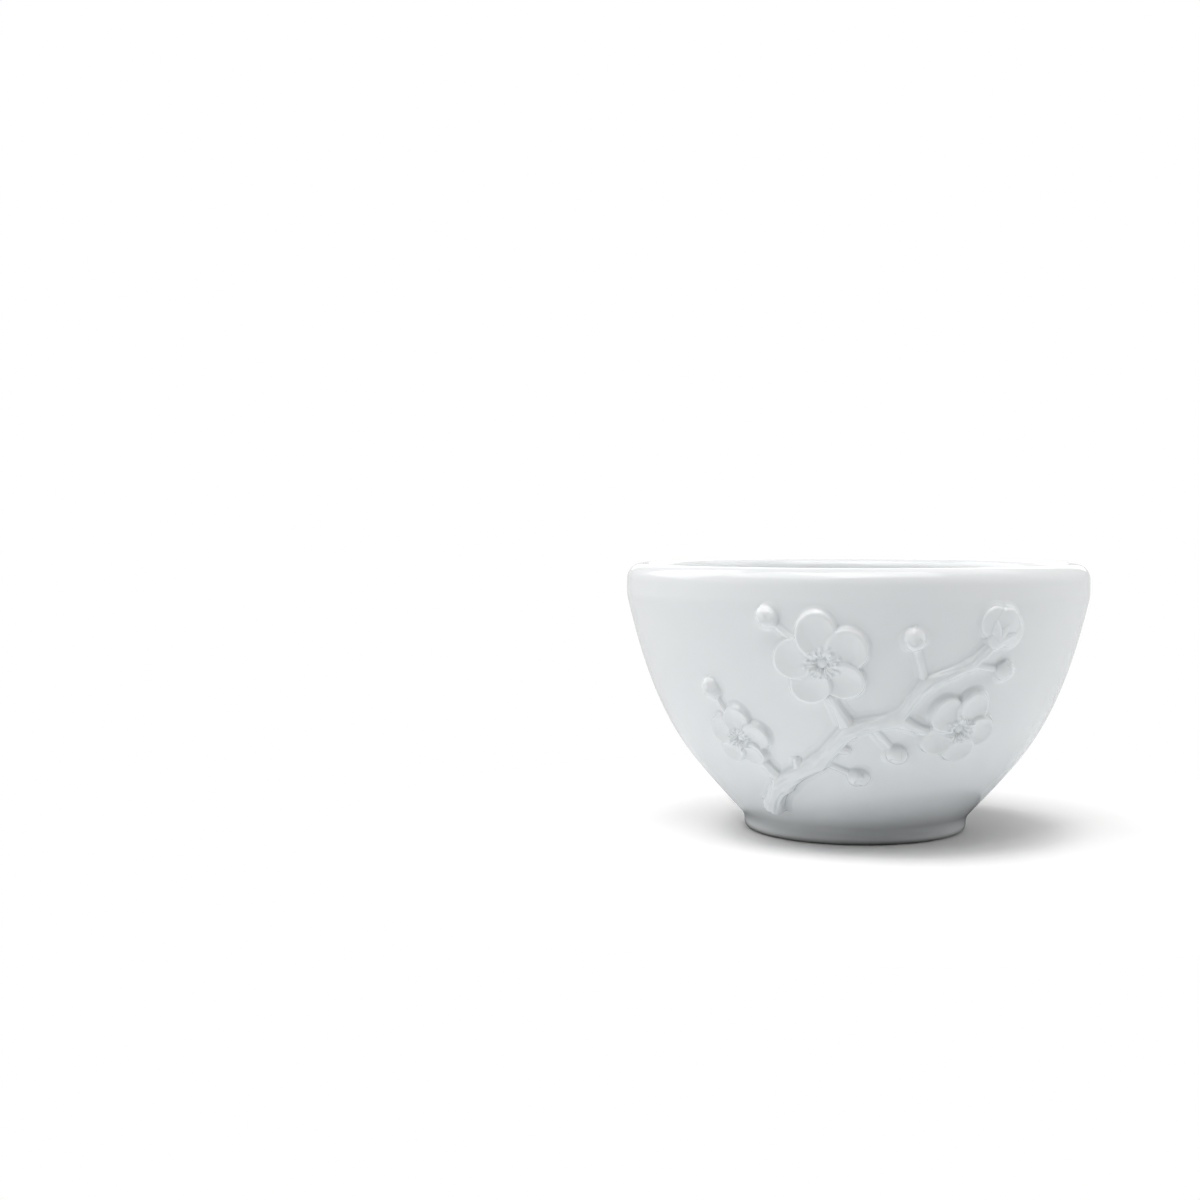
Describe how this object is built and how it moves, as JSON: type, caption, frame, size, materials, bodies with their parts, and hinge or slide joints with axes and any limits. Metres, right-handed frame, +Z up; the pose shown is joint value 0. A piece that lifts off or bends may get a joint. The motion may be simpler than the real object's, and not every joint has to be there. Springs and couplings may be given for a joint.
{
  "type": "egg cup",
  "caption": "Low white porcelain egg cup: a round bowl on a small foot ring, with a flowering plum branch in raised relief on the front.",
  "frame": {"origin": "centre of the foot ring's resting plane", "axes": "+Z up through the bowl, -Y towards the side with the relief, +X to the right of someone facing the relief"},
  "size_m": [0.0588, 0.0588, 0.034],
  "materials": {
    "porcelain": "clear glossy glaze, bare at the foot ring's resting face",
    "relief": "clear glossy glaze over applied relief"
  },
  "bodies": {
    "root": {"cup_body": "porcelain", "main_branch": "relief", "upper_twig": "relief", "left_twig": "relief", "right_twig": "relief", "large_blossom": "relief", "middle_blossom": "relief", "small_blossom": "relief", "opening_blossom": "relief", "bud_1": "relief", "bud_2": "relief", "bud_3": "relief", "bud_4": "relief", "bud_5": "relief", "bud_6": "relief"}
  },
  "joints": []
}
